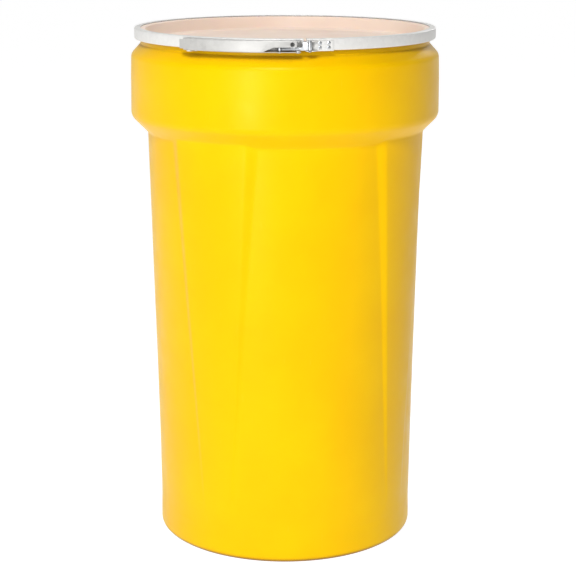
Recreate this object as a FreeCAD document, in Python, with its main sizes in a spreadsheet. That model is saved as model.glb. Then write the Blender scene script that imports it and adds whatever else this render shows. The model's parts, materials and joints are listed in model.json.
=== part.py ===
import FreeCAD, Part
import math
import os

import Sketcher
from FreeCAD import Placement, Rotation, Vector

# Open-head plastic salvage drum of the 55 US gallon class, closed by a lever-lock steel ring.
# Millimetres, +Z up, origin at the middle of the base. An azimuth is counted from the front
# (-Y) towards +X, and every bracket is drawn in a frame whose own +X faces its azimuth.

DRIVING_SIZES = {
    # drum wall and foot
    "wall": 5.0,
    "foot_dish_radius": 200.0,
    "foot_inner_radius": 212.0,
    "foot_dish_rise": 10.0,
    "foot_round": 12.0,
    "base_radius": 252.6,
    # tapered side, from foot to collar
    "side_low_height": 57.0,
    "side_low_radius": 252.0,
    "side_lower_height": 194.0,
    "side_lower_radius": 253.4,
    "side_middle_height": 330.0,
    "side_middle_radius": 255.7,
    "side_upper_height": 527.0,
    "side_upper_radius": 260.2,
    "collar_root_height": 801.5,
    "collar_root_radius": 266.0,
    # lifting collar, shoulder, neck and rim
    "collar_radius": 297.4,
    "collar_edge_height": 833.4,
    "collar_edge_round": 20.0,
    "shoulder_height": 949.3,
    "shoulder_radius": 295.8,
    "shoulder_round": 15.0,
    "neck_radius": 277.5,
    "neck_foot_height": 969.6,
    "rim_underside_height": 980.9,
    "rim_edge_drop": 0.5,
    "rim_radius": 285.8,
    "rim_top_height": 989.6,
    "rim_round": 1.2,
    # raised ribs on the side
    "rib_count": 4.0,
    "rib_azimuth": -31.0,
    "rib_end_height": 84.0,
    "rib_low_height": 112.0,
    "rib_middle_height": 430.0,
    "rib_top_height": 812.0,
    "rib_end_half_angle": 6.9,
    "rib_low_half_angle": 7.4,
    "rib_middle_half_angle": 12.3,
    "rib_top_half_angle": 18.2,
    "rib_low_ramp_angle": 2.4,
    "rib_top_ramp_angle": 6.0,
    "rib_end_radius": 251.4,
    "rib_low_radius": 253.2,
    "rib_middle_radius": 261.0,
    "rib_top_radius": 272.8,
    "rib_root_depth": 3.0,
    # lid and its seal
    "gasket_thickness": 3.0,
    "gasket_inner_radius": 272.8,
    "gasket_outer_radius": 285.0,
    "lid_radius": 286.0,
    "lid_flange_thickness": 5.8,
    "lid_wall": 4.5,
    "plug_top_radius": 270.8,
    "plug_foot_radius": 267.4,
    "recess_floor_height": 974.0,
    "lid_bead_radius": 245.0,
    "lid_bead_half_width": 4.0,
    "lid_bead_rise": 2.5,
    "lid_step_radius": 150.0,
    "lid_step_rise": 1.5,
    # steel closure band
    "band_top_height": 1000.0,
    "band_foot_height": 979.1,
    "band_radius": 289.0,
    "band_thickness": 1.4,
    "band_top_lip_radius": 277.0,
    "band_foot_lip_radius": 280.0,
    "band_round": 2.4,
    "band_gap_azimuth": 5.4,
    "band_gap_angle": 1.1,
    # brackets on the band
    "plate_thickness": 1.2,
    "plate_foot_height": 978.5,
    "plate_top_height": 996.5,
    "ear_thickness": 1.5,
    "ear_half_width": 3.7,
    "hinge_plate_angle": 15.4,
    "keeper_plate_angle": 10.2,
    "keeper_lead_angle": 1.5,
    "keeper_ear_radius": 299.6,
    "notch_clearance": 0.3,
    "notch_drift": 0.7,
    # over-centre lever
    "fulcrum_azimuth": 4.4,
    "fulcrum_radius": 296.0,
    "lever_round": 5.4,
    "lever_sheet": 1.5,
    "lever_foot_height": 976.8,
    "lever_top_height": 998.2,
    "lever_inner_radius": 290.6,
    "lever_outer_radius": 302.1,
    "lever_sweep": 41.3,
    "lever_lip_angle": 1.6,
    "web_end_angle": 0.4,
    "lever_edge_round": 2.0,
    "window_top_height": 986.2,
    "window_near_angle": 8.1,
    "window_far_angle": 11.8,
    "lever_hole_angle": 1.9,
    "lever_hole_radius": 4.0,
    "lever_hole_height": 991.2,
    # link and pins
    "link_pin_azimuth": -1.8,
    "link_pin_radius": 295.0,
    "hook_pin_azimuth": 8.5,
    "hook_pin_radius": 295.3,
    "pin_shank_radius": 2.0,
    "pin_head_radius": 3.2,
    "pin_head_thickness": 0.8,
    "fulcrum_shank_radius": 2.2,
    "fulcrum_head_radius": 4.0,
    "running_clearance": 0.06,
    "link_eye_radius": 3.8,
    "link_thickness": 3.0,
    "link_foot_height": 980.3,
    "link_bar_top_height": 985.3,
    "link_top_height": 994.7,
    "link_flare_start": 40.0,
    # seal lug and its eye
    "seal_azimuth": -35.0,
    "seal_eye_radius": 3.0,
    "seal_pin_radius": 295.0,
    "lug_tab_height": 974.8,
    "lug_plate_top_height": 992.5,
    "lug_half_width": 6.0,
    "lug_half_angle": 2.3,
    # rivets that hold the brackets
    "rivet_shank_radius": 1.9,
    "rivet_head_radius": 3.5,
    "rivet_head_rise": 1.2,
    "rivet_tail_radius": 2.8,
    "rivet_tail_rise": 0.5,
    "rivet_bedding": 0.02,
    "rivet_low_height": 984.4,
    "rivet_high_height": 992.4,
}

HINGE_RIVET_AZIMUTHS = (-9.2, -5.6)
KEEPER_RIVET_AZIMUTHS = (12.2, 15.4)
LUG_RIVET_AZIMUTHS = (-36.5, -33.5)
DEGREE = math.pi / 180
FRONT_AZIMUTH = 90.0

document = FreeCAD.newDocument("salvage_drum")
sheet = document.addObject("Spreadsheet::Sheet", "sizes")
for row, (alias, number) in enumerate(DRIVING_SIZES.items(), start=1):
    sheet.set(f"A{row}", alias)
    sheet.set(f"B{row}", str(number))
    sheet.setAlias(f"B{row}", alias)
document.recompute()


class Size:
    """A length or angle that keeps its value and the sheet formula it comes from."""

    def __init__(self, formula, value):
        self.formula = formula
        self.value = value

    def joined(self, other, sign, value):
        """Return the Size of this one and another joined by an arithmetic sign."""
        return Size(f"({self.formula} {sign} {as_size(other).formula})", value)

    def __add__(self, other):
        return self.joined(other, "+", self.value + as_size(other).value)

    def __sub__(self, other):
        return self.joined(other, "-", self.value - as_size(other).value)

    def __mul__(self, other):
        return self.joined(other, "*", self.value * as_size(other).value)

    def __neg__(self):
        return Size(f"(-1 * {self.formula})", -self.value)


def as_size(number):
    """Return a Size, made from a plain number if need be."""
    return number if isinstance(number, Size) else Size(repr(float(number)), float(number))


def cell(alias):
    """Return the Size held by one aliased cell of the sheet."""
    return Size(f"<<sizes>>.{alias}", float(sheet.get(alias)))


def cosine(angle):
    """Return the cosine of an angle in degrees."""
    return Size(f"cos({angle.formula} * 1deg)", math.cos(angle.value * DEGREE))


def sine(angle):
    """Return the sine of an angle in degrees."""
    return Size(f"sin({angle.formula} * 1deg)", math.sin(angle.value * DEGREE))


def bind(thing, path, size):
    """Bind one property of a feature to a sheet formula."""
    thing.setExpression(path, as_size(size).formula)


def turn_to(azimuth):
    """Return the rotation that brings a piece's own +X round to an azimuth."""
    return Rotation(Vector(0, 0, 1), as_size(azimuth).value - FRONT_AZIMUTH)


def spot(radius, azimuth, height):
    """Return the point at a radius, azimuth and height."""
    return turn_to(azimuth).multVec(Vector(radius.value, 0, 0)) + Vector(0, 0, as_size(height).value)


def new_body(label, place=None):
    """Start one piece as a PartDesign body that stands at its place."""
    body = document.addObject("PartDesign::Body", label)
    body.Label = label
    body.Placement = place or Placement()
    return body


def sketch_on(body, role, name, turn=0.0, height=0.0):
    """Lay a sketch on one of the body's own origin planes.

    turn swings an upright plane about +Z, and height lifts a level one.
    """
    plane = next(f for f in body.Origin.OriginFeatures if f.Role == role)
    sketch = body.newObject("Sketcher::SketchObject", name)
    sketch.AttachmentSupport = [(plane, "")]
    sketch.MapMode = "FlatFace"
    lift = Vector(0, 0, as_size(height).value)
    swing = Rotation(Vector(0, 1, 0), as_size(turn).value)
    sketch.AttachmentOffset = Placement(lift, swing)
    if as_size(height).value:
        bind(sketch, "AttachmentOffset.Base.z", height)
    if as_size(turn).value:
        bind(sketch, "AttachmentOffset.Rotation.Angle", turn)
    return sketch


def tie(sketch, kind, geometry, size):
    """Add one dimension to a sketch and bind it to the sheet."""
    index = sketch.addConstraint(Sketcher.Constraint(kind, *geometry, as_size(size).value))
    bind(sketch, f"Constraints[{index}]", size)


def tie_point(sketch, edge, end, across, along):
    """Hold one end of an edge at its two distances from the sketch's axes."""
    for kind, size, axis in (("DistanceX", across, -2), ("DistanceY", along, -1)):
        if as_size(size).value == 0:
            sketch.addConstraint(Sketcher.Constraint("PointOnObject", edge, end, axis))
        else:
            tie(sketch, kind, (-1, 1, edge, end), size)


def draw_outline(sketch, corners):
    """Draw a closed outline of straight edges through the corners."""
    points = [Vector(as_size(a).value, as_size(b).value, 0) for a, b in corners]
    count = len(points)
    for index in range(count):
        sketch.addGeometry(Part.LineSegment(points[index], points[(index + 1) % count]), False)
    for index in range(count):
        follower = (index + 1) % count
        sketch.addConstraint(Sketcher.Constraint("Coincident", index, 2, follower, 1))
    for index, (across, along) in enumerate(corners):
        tie_point(sketch, index, 1, across, along)


def draw_circle(sketch, across, along, radius):
    """Draw a circle about a point of the sketch."""
    centre = Vector(as_size(across).value, as_size(along).value, 0)
    edge = sketch.addGeometry(Part.Circle(centre, Vector(0, 0, 1), radius.value), False)
    tie(sketch, "Radius", (edge,), radius)
    tie_point(sketch, edge, 3, across, along)


def revolve(body, name, corners, start=0.0, sweep=360.0):
    """Turn an outline of (radius, height) corners about +Z, from start through sweep degrees."""
    sketch = sketch_on(body, "XZ_Plane", name + "_outline", turn=start)
    draw_outline(sketch, corners)
    feature = body.newObject("PartDesign::Revolution", name)
    feature.Profile = sketch
    feature.ReferenceAxis = (sketch, ["V_Axis"])
    feature.Angle = as_size(sweep).value
    bind(feature, "Angle", sweep)
    document.recompute()
    return feature


def pad(body, name, sketch, thickness):
    """Raise a level sketch upwards by a thickness."""
    feature = body.newObject("PartDesign::Pad", name)
    feature.Profile = sketch
    bind(feature, "Length", thickness)
    document.recompute()
    return feature


def cut_through(body, name, sketch, one_way=False):
    """Cut a sketch right through the body, and check that it removed something."""
    before = body.Shape.Volume
    feature = body.newObject("PartDesign::Pocket", name)
    feature.Profile = sketch
    feature.Type = "ThroughAll"
    feature.Midplane = not one_way
    feature.Reversed = one_way
    document.recompute()
    if not body.Shape.Volume < before - 0.1:
        raise RuntimeError(f"{name} cut nothing from {body.Label}")
    return feature


def round_circles(body, name, circles, radius):
    """Round the circular edges about +Z at the given (radius, height) places."""
    base = body.Tip
    chosen = []
    for number, edge in enumerate(base.Shape.Edges, start=1):
        if not isinstance(edge.Curve, Part.Circle):
            continue
        centre = edge.Curve.Center
        on_axis = math.hypot(centre.x, centre.y) < 0.01
        for across, along in circles:
            near = abs(edge.Curve.Radius - across.value) < 0.05 and abs(centre.z - along.value) < 0.05
            if on_axis and near:
                chosen.append(f"Edge{number}")
    if not chosen:
        raise RuntimeError(f"{name} found no edge to round on {body.Label}")
    feature = body.newObject("PartDesign::Fillet", name)
    feature.Base = (base, chosen)
    bind(feature, "Radius", radius)
    document.recompute()
    return feature


def lug(body, name, centre, root, half_width, height, thickness):
    """Add a level ear with a round end about a point on the body's own X axis."""
    sketch = sketch_on(body, "XY_Plane", name + "_outline", height=height)
    low = Vector(root.value, -half_width.value, 0)
    far_low = Vector(centre.value, -half_width.value, 0)
    far_high = Vector(centre.value, half_width.value, 0)
    high = Vector(root.value, half_width.value, 0)
    tip = Vector(centre.value + half_width.value, 0, 0)
    sketch.addGeometry(Part.LineSegment(low, far_low), False)
    sketch.addGeometry(Part.Arc(far_low, tip, far_high), False)
    sketch.addGeometry(Part.LineSegment(far_high, high), False)
    sketch.addGeometry(Part.LineSegment(high, low), False)
    for first, first_end, second, second_end in ((0, 2, 1, 1), (1, 2, 2, 1), (2, 2, 3, 1), (3, 2, 0, 1)):
        joined = Sketcher.Constraint("Coincident", first, first_end, second, second_end)
        sketch.addConstraint(joined)
    tie_point(sketch, 0, 1, root, -half_width)
    tie_point(sketch, 2, 2, root, half_width)
    tie_point(sketch, 1, 3, centre, 0)
    sketch.addConstraint(Sketcher.Constraint("Vertical", 1, 1, 1, 2))
    tie(sketch, "Radius", (1,), half_width)
    return pad(body, name, sketch, thickness)


def stepped_pin(label, steps, place):
    """Turn a pin from (radius, low end, high end) steps along its own +Z."""
    body = new_body(label, place)
    corners = [(as_size(0), steps[0][1])]
    for radius, low, high in steps:
        corners += [(radius, low), (radius, high)]
    corners.append((as_size(0), steps[-1][2]))
    revolve(body, label + "_turned", corners)
    return body


# ---- drum body: one moulding with an even wall ----

wall = cell("wall")
CONVEX_45 = math.tan(22.5 * DEGREE)
SHOULDER_TURN = math.tan(24.0 * DEGREE)


def drum_outline(inset):
    """Return the corners of the drum's skin, moved inwards by an inset, foot to rim."""
    return [
        (as_size(0), cell("foot_dish_rise") + inset),
        (cell("foot_dish_radius"), cell("foot_dish_rise") + inset),
        (cell("foot_inner_radius"), inset),
        (cell("base_radius") - inset, inset),
        (cell("side_low_radius") - inset, cell("side_low_height")),
        (cell("side_lower_radius") - inset, cell("side_lower_height")),
        (cell("side_middle_radius") - inset, cell("side_middle_height")),
        (cell("side_upper_radius") - inset, cell("side_upper_height")),
        (cell("collar_root_radius") - inset, cell("collar_root_height") + inset * CONVEX_45),
        (cell("collar_radius") - inset, cell("collar_edge_height") + inset * CONVEX_45),
        (cell("shoulder_radius") - inset, cell("shoulder_height") - inset * SHOULDER_TURN),
        (cell("neck_radius") - inset, cell("neck_foot_height") - inset * SHOULDER_TURN),
    ]


def rib_section(body, name, height, outer, inner, half_angle, ramp_angle):
    """Draw a level slice of one rib: two arcs about the drum's axis and two sloping flanks."""
    sketch = sketch_on(body, "XY_Plane", name, height=height)
    crest = half_angle - ramp_angle * 0.5
    foot = half_angle + ramp_angle * 0.5
    for edge, radius, angle in ((0, outer, crest), (1, inner, foot)):
        circle = Part.Circle(Vector(0, 0, 0), Vector(0, 0, 1), radius.value)
        reach = angle.value * DEGREE
        sketch.addGeometry(Part.ArcOfCircle(circle, -reach, reach), False)
        sketch.addConstraint(Sketcher.Constraint("Coincident", edge, 3, -1, 1))
        tie(sketch, "Radius", (edge,), radius)
        sketch.addConstraint(Sketcher.Constraint("Symmetric", edge, 1, edge, 2, -1))
        tie(sketch, "DistanceY", (-1, 1, edge, 2), radius * sine(angle))
    arcs = sketch.Geometry
    sketch.addGeometry(Part.LineSegment(arcs[0].EndPoint, arcs[1].EndPoint), False)
    sketch.addGeometry(Part.LineSegment(arcs[1].StartPoint, arcs[0].StartPoint), False)
    for line, line_end, arc, arc_end in ((2, 1, 0, 2), (2, 2, 1, 2), (3, 1, 1, 1), (3, 2, 0, 1)):
        sketch.addConstraint(Sketcher.Constraint("Coincident", line, line_end, arc, arc_end))
    return sketch


def rib_loft(body, kind, name, inset):
    """Loft one rib through its level slices, with its outer face moved inwards by an inset."""
    slices = []
    for level in ("end", "low", "middle", "top"):
        ramp = cell("rib_top_ramp_angle") if level == "top" else cell("rib_low_ramp_angle")
        if level == "middle":
            ramp = (cell("rib_low_ramp_angle") + cell("rib_top_ramp_angle")) * 0.5
        outer = cell(f"rib_{level}_radius") - inset
        inner = SLICE_ROOTS[level] - inset
        half_angle = cell(f"rib_{level}_half_angle")
        height = cell(f"rib_{level}_height")
        slices.append(rib_section(body, f"{name}_{level}", height, outer, inner, half_angle, ramp))
    loft = body.newObject(kind, name)
    loft.Profile = slices[0]
    loft.Sections = slices[1:]
    loft.Ruled = True
    document.recompute()
    pattern = body.newObject("PartDesign::PolarPattern", name + "_round_drum")
    pattern.Originals = [loft]
    pattern.Axis = (slices[0], ["N_Axis"])
    pattern.Angle = 360
    pattern.Occurrences = int(cell("rib_count").value)
    body.Tip = pattern
    document.recompute()


depth = cell("rib_root_depth")
SLICE_ROOTS = {
    "end": cell("side_low_radius") - depth,
    "low": cell("side_low_radius") - depth,
    "middle": cell("side_middle_radius") - depth * 0.5,
    "top": cell("collar_root_radius") - depth * 0.5,
}

drum = new_body("drum_body", Placement(Vector(), turn_to(cell("rib_azimuth"))))
rim_corners = [
    (cell("neck_radius"), cell("rim_underside_height")),
    (cell("rim_radius"), cell("rim_underside_height") + cell("rim_edge_drop")),
    (cell("rim_radius"), cell("rim_top_height")),
    (as_size(0), cell("rim_top_height")),
]
revolve(drum, "skin", drum_outline(as_size(0)) + rim_corners)
round_circles(
    drum,
    "collar_edge_rounding",
    [(cell("collar_radius"), cell("collar_edge_height"))],
    cell("collar_edge_round"),
)
round_circles(
    drum,
    "shoulder_rounding",
    [(cell("shoulder_radius"), cell("shoulder_height"))],
    cell("shoulder_round"),
)
rib_loft(drum, "PartDesign::AdditiveLoft", "rib", as_size(0))
round_circles(drum, "foot_rounding", [(cell("base_radius"), as_size(0))], cell("foot_round"))
round_circles(
    drum,
    "rim_rounding",
    [(cell("rim_radius"), cell("rim_top_height"))],
    cell("rim_round"),
)

bore_sketch = sketch_on(drum, "XZ_Plane", "bore_outline")
mouth_height = cell("rim_top_height") + wall
bore_corners = drum_outline(wall) + [
    (cell("neck_radius") - wall, mouth_height),
    (as_size(0), mouth_height),
]
draw_outline(bore_sketch, bore_corners)
bore = drum.newObject("PartDesign::Groove", "bore")
bore.Profile = bore_sketch
bore.ReferenceAxis = (bore_sketch, ["V_Axis"])
bore.Angle = 360
solid_volume = drum.Shape.Volume
document.recompute()
rib_loft(drum, "PartDesign::SubtractiveLoft", "rib_hollow", wall)
capacity_litres = (solid_volume - drum.Shape.Volume) / 1e6

# ---- lid: plug lid with a sunk floor, and the rubber seal under its rim ----

lid_top = cell("rim_top_height") + cell("gasket_thickness") + cell("lid_flange_thickness")
lid_underside = cell("rim_top_height") + cell("gasket_thickness")
floor_top = cell("recess_floor_height")
floor_underside = floor_top - cell("lid_wall")
bead_radius = cell("lid_bead_radius")
bead_half = cell("lid_bead_half_width")
bead_rise = cell("lid_bead_rise")
step_radius = cell("lid_step_radius")
step_rise = cell("lid_step_rise")
lid = new_body("lid")
lid_corners = [
    (as_size(0), floor_top + step_rise),
    (step_radius, floor_top + step_rise),
    (step_radius + step_rise, floor_top),
    (bead_radius - bead_half - bead_rise, floor_top),
    (bead_radius - bead_half, floor_top + bead_rise),
    (bead_radius + bead_half, floor_top + bead_rise),
    (bead_radius + bead_half + bead_rise, floor_top),
    (cell("plug_foot_radius") - cell("lid_wall"), floor_top),
    (cell("plug_top_radius") - cell("lid_wall") * 0.8, lid_top - 1.6),
    (cell("plug_top_radius") - 1.6, lid_top),
    (cell("lid_radius"), lid_top),
    (cell("lid_radius"), lid_underside),
    (cell("plug_top_radius"), lid_underside),
    (cell("plug_foot_radius"), floor_underside + 2.0),
    (cell("plug_foot_radius") - 2.0, floor_underside),
    (step_radius + step_rise, floor_underside),
    (step_radius, floor_underside + step_rise),
    (as_size(0), floor_underside + step_rise),
]
revolve(lid, "lid_turned", lid_corners)
round_circles(lid, "lid_edge_rounding", [(cell("lid_radius"), lid_top)], cell("rim_round"))

gasket = new_body("lid_gasket")
gasket_corners = [
    (cell("gasket_inner_radius"), cell("rim_top_height")),
    (cell("gasket_outer_radius"), cell("rim_top_height")),
    (cell("gasket_outer_radius"), lid_underside),
    (cell("gasket_inner_radius"), lid_underside),
]
revolve(gasket, "gasket_turned", gasket_corners)

# ---- closure band: a split channel that hooks over the lid and under the rim ----

band_radius = cell("band_radius")
band_inside = band_radius - cell("band_thickness")
band_top = cell("band_top_height")
band_foot = cell("band_foot_height")
band_start = cell("band_gap_azimuth") + cell("band_gap_angle")
band = new_body("closure_band", Placement(Vector(), turn_to(band_start)))
band_corners = [
    (cell("band_foot_lip_radius"), band_foot),
    (band_radius, band_foot),
    (band_radius, band_top),
    (cell("band_top_lip_radius"), band_top),
    (cell("band_top_lip_radius"), band_top - cell("band_thickness")),
    (band_inside, band_top - cell("band_thickness")),
    (band_inside, band_foot + cell("band_thickness")),
    (cell("band_foot_lip_radius"), band_foot + cell("band_thickness")),
]
revolve(band, "channel", band_corners, sweep=as_size(360) - cell("band_gap_angle"))
band_edges = [(band_radius, band_top), (band_radius, band_foot)]
round_circles(band, "channel_rounding", band_edges, cell("band_round"))


def rivet_holes(body, name, azimuth, own_azimuth, heights):
    """Bore rivet holes straight out through a curved plate at one azimuth."""
    sketch = sketch_on(body, "YZ_Plane", f"{name}_circles", turn=as_size(azimuth) - own_azimuth)
    for height in heights:
        draw_circle(sketch, 0, height, cell("rivet_shank_radius"))
    cut_through(body, name, sketch, one_way=True)


PAIR_HEIGHTS = (cell("rivet_low_height"), cell("rivet_high_height"))
LUG_RIVET_HEIGHTS = ((cell("rivet_low_height") + cell("rivet_high_height")) * 0.5,)
for number, azimuth in enumerate(HINGE_RIVET_AZIMUTHS + KEEPER_RIVET_AZIMUTHS, start=1):
    rivet_holes(band, f"band_rivet_holes_{number}", azimuth, band_start, PAIR_HEIGHTS)
for number, azimuth in enumerate(LUG_RIVET_AZIMUTHS, start=1):
    rivet_holes(band, f"band_lug_holes_{number}", azimuth, band_start, LUG_RIVET_HEIGHTS)

# ---- brackets: a curved plate on the band's outside with ears standing out of it ----

plate_outside = band_radius + cell("plate_thickness")
EAR_ROOT = band_radius + cell("plate_thickness") * 0.5
ear = cell("ear_thickness")
upper_ear_height = cell("plate_top_height") - ear
fulcrum_azimuth = cell("fulcrum_azimuth")


def curved_plate(body, name, foot, top, start, sweep):
    """Add a curved plate that lies on the band's outside."""
    corners = [(band_radius, foot), (plate_outside, foot), (plate_outside, top), (band_radius, top)]
    revolve(body, name, corners, start, sweep)


def rectangle(low_across, high_across, low_along, high_along):
    """Return the four corners of an upright rectangle."""
    return [
        (low_across, low_along),
        (high_across, low_along),
        (high_across, high_along),
        (low_across, high_along),
    ]


hinge = new_body("hinge_bracket", Placement(Vector(), turn_to(fulcrum_azimuth)))
hinge_end = cell("band_gap_azimuth") - fulcrum_azimuth
hinge_start = hinge_end - cell("hinge_plate_angle")
curved_plate(
    hinge,
    "hinge_plate",
    cell("plate_foot_height"),
    cell("plate_top_height"),
    hinge_start,
    cell("hinge_plate_angle"),
)
for name, height in (("lower_ear", cell("plate_foot_height")), ("upper_ear", upper_ear_height)):
    lug(hinge, name, cell("fulcrum_radius"), EAR_ROOT, cell("ear_half_width"), height, ear)
fulcrum_sketch = sketch_on(hinge, "XY_Plane", "fulcrum_circle")
draw_circle(fulcrum_sketch, cell("fulcrum_radius"), 0, cell("fulcrum_shank_radius"))
cut_through(hinge, "fulcrum_bore", fulcrum_sketch)
for number, azimuth in enumerate(HINGE_RIVET_AZIMUTHS, start=1):
    rivet_holes(hinge, f"hinge_rivet_holes_{number}", azimuth, fulcrum_azimuth, PAIR_HEIGHTS)

hook_azimuth = cell("hook_pin_azimuth")
keeper = new_body("keeper_bracket", Placement(Vector(), turn_to(hook_azimuth)))
curved_plate(
    keeper,
    "keeper_plate",
    cell("plate_foot_height"),
    cell("plate_top_height"),
    -cell("keeper_lead_angle"),
    cell("keeper_plate_angle"),
)
EAR_NEAR = -6.0
EAR_CREST = 5.5
EAR_FAR = 15.0
for name, height in (("lower_hook", cell("plate_foot_height")), ("upper_hook", upper_ear_height)):
    ear_sketch = sketch_on(keeper, "XY_Plane", name + "_outline", height=height)
    ear_corners = [
        (EAR_ROOT, as_size(EAR_NEAR)),
        (cell("keeper_ear_radius") - 1.5, as_size(EAR_NEAR)),
        (cell("keeper_ear_radius"), as_size(EAR_NEAR + 1.5)),
        (cell("keeper_ear_radius"), as_size(EAR_CREST)),
        (EAR_ROOT + 1.5, as_size(EAR_FAR)),
        (EAR_ROOT, as_size(EAR_FAR)),
    ]
    draw_outline(ear_sketch, ear_corners)
    pad(keeper, name, ear_sketch, ear)

# The hook pin leaves its notch straight forwards, so the notch runs along -Y.
hook_radius = cell("hook_pin_radius")
seat_radius = cell("pin_shank_radius") + cell("notch_clearance")
seat_sketch = sketch_on(keeper, "XY_Plane", "notch_seat_circle")
draw_circle(seat_sketch, hook_radius, 0, seat_radius)
cut_through(keeper, "notch_seat", seat_sketch)
notch_sketch = sketch_on(keeper, "XY_Plane", "notch_outline")
forward = (cosine(hook_azimuth), -sine(hook_azimuth))
sideways = (sine(hook_azimuth), cosine(hook_azimuth))
NOTCH_REACH = 12.0


def notch_corner(out, across):
    """Return a notch corner: so far forwards of the hook pin, and so far to its right."""
    return (
        hook_radius + forward[0] * out + sideways[0] * across,
        forward[1] * out + sideways[1] * across,
    )


draw_outline(
    notch_sketch,
    [
        notch_corner(as_size(0), -seat_radius),
        notch_corner(as_size(NOTCH_REACH), -seat_radius),
        notch_corner(as_size(NOTCH_REACH), seat_radius + cell("notch_drift")),
        notch_corner(as_size(0), seat_radius + cell("notch_drift")),
    ],
)
cut_through(keeper, "notch", notch_sketch)
for number, azimuth in enumerate(KEEPER_RIVET_AZIMUTHS, start=1):
    rivet_holes(keeper, f"keeper_rivet_holes_{number}", azimuth, hook_azimuth, PAIR_HEIGHTS)

seal_azimuth = cell("seal_azimuth")
seal_lug = new_body("seal_lug", Placement(Vector(), turn_to(seal_azimuth)))
curved_plate(
    seal_lug,
    "lug_plate",
    cell("lug_tab_height"),
    cell("lug_plate_top_height"),
    -cell("lug_half_angle"),
    cell("lug_half_angle") * 2,
)
lug(
    seal_lug,
    "lug_tab",
    cell("seal_pin_radius"),
    EAR_ROOT,
    cell("lug_half_width"),
    cell("lug_tab_height"),
    ear,
)
eye_sketch = sketch_on(seal_lug, "XY_Plane", "lug_eye_circle")
draw_circle(eye_sketch, cell("seal_pin_radius"), 0, cell("seal_eye_radius"))
cut_through(seal_lug, "lug_eye", eye_sketch)
for number, azimuth in enumerate(LUG_RIVET_AZIMUTHS, start=1):
    rivet_holes(seal_lug, f"lug_rivet_holes_{number}", azimuth, seal_azimuth, LUG_RIVET_HEIGHTS)

# ---- lever: a curved channel, open towards the drum, round at its fulcrum end ----

sheet_metal = cell("lever_sheet")
lever_foot = cell("lever_foot_height")
lever_top = cell("lever_top_height")
lever_inside = cell("lever_inner_radius")
lever_outside = cell("lever_outer_radius")
lever = new_body("lever", Placement(Vector(), turn_to(fulcrum_azimuth)))
channel_corners = [
    (lever_inside, lever_foot),
    (lever_outside, lever_foot),
    (lever_outside, lever_top),
    (lever_inside, lever_top),
    (lever_inside, lever_top - sheet_metal),
    (lever_outside - sheet_metal, lever_top - sheet_metal),
    (lever_outside - sheet_metal, lever_foot + sheet_metal),
    (lever_inside, lever_foot + sheet_metal),
]
channel_sweep = cell("lever_sweep") - cell("web_end_angle")
revolve(lever, "lever_channel", channel_corners, -cell("lever_sweep"), channel_sweep)
lever_edges = [(lever_outside, lever_top), (lever_outside, lever_foot)]
round_circles(lever, "lever_rounding", lever_edges, cell("lever_edge_round"))
LIP_INSET = 2.5
lip_corners = rectangle(
    lever_outside - sheet_metal,
    lever_outside,
    lever_foot + LIP_INSET,
    lever_top - LIP_INSET,
)
lip_start = -cell("lever_sweep") - cell("lever_lip_angle")
revolve(lever, "finger_lip", lip_corners, lip_start, cell("lever_lip_angle"))
for name, height in (("lower_cheek", lever_foot), ("upper_cheek", lever_top - sheet_metal)):
    cheek_sketch = sketch_on(lever, "XY_Plane", name + "_circle", height=height)
    draw_circle(cheek_sketch, cell("fulcrum_radius"), 0, cell("lever_round"))
    pad(lever, name, cheek_sketch, sheet_metal)

# The link swings out through a window in the lower half of the web.
window_sketch = sketch_on(lever, "YZ_Plane", "window_outline")
window_far = -lever_outside * sine(cell("window_far_angle"))
window_near = -lever_outside * sine(cell("window_near_angle"))
window_corners = [
    (window_far, lever_foot + sheet_metal),
    (cell("lever_round") * 2, lever_foot + sheet_metal),
    (cell("lever_round") * 2, cell("window_top_height")),
    (window_near, cell("window_top_height")),
]
draw_outline(window_sketch, window_corners)
cut_through(lever, "window", window_sketch, one_way=True)
hole_sketch = sketch_on(lever, "YZ_Plane", "lever_hole_circle")
hole_across = -lever_outside * sine(cell("lever_hole_angle"))
draw_circle(hole_sketch, hole_across, cell("lever_hole_height"), cell("lever_hole_radius"))
cut_through(lever, "lever_hole", hole_sketch, one_way=True)

link_turn = cell("link_pin_azimuth") - fulcrum_azimuth
seal_turn = seal_azimuth - fulcrum_azimuth
pivot_radius = cell("fulcrum_shank_radius") + cell("running_clearance")
LEVER_BORES = (
    ("fulcrum_hole", cell("fulcrum_radius"), as_size(0), pivot_radius),
    ("link_pin_hole", cell("link_pin_radius"), link_turn, cell("pin_shank_radius")),
    ("seal_hole", cell("seal_pin_radius"), seal_turn, cell("seal_eye_radius")),
)
for name, radius, turn, bore_radius in LEVER_BORES:
    bore_circle = sketch_on(lever, "XY_Plane", name + "_circle")
    across = radius * cosine(turn)
    along = radius * sine(turn) if turn.value else as_size(0)
    draw_circle(bore_circle, across, along, bore_radius)
    cut_through(lever, name, bore_circle)

# ---- toggle link: a bar with an eye at the lever and a tall eye for the hook pin ----

link_start = spot(cell("link_pin_radius"), cell("link_pin_azimuth"), 0)
link_end = spot(hook_radius, hook_azimuth, 0)
link_vector = link_end - link_start
link_length = link_vector.Length
link_heading = math.degrees(math.atan2(link_vector.y, link_vector.x))
link_foot = cell("link_foot_height")
bar_height = cell("link_bar_top_height") - link_foot
tall_height = cell("link_top_height") - link_foot
flare_start = cell("link_flare_start")
loose_pin_radius = cell("pin_shank_radius") + cell("running_clearance")


def link_block(name, start, length, height):
    """Make one box of the link, centred on its length and standing on its lower face."""
    box = document.addObject("Part::Box", name)
    bind(box, "Length", length)
    bind(box, "Width", cell("link_thickness"))
    bind(box, "Height", height)
    bind(box, "Placement.Base.x", start)
    bind(box, "Placement.Base.y", -cell("link_thickness") * 0.5)
    return box


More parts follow.
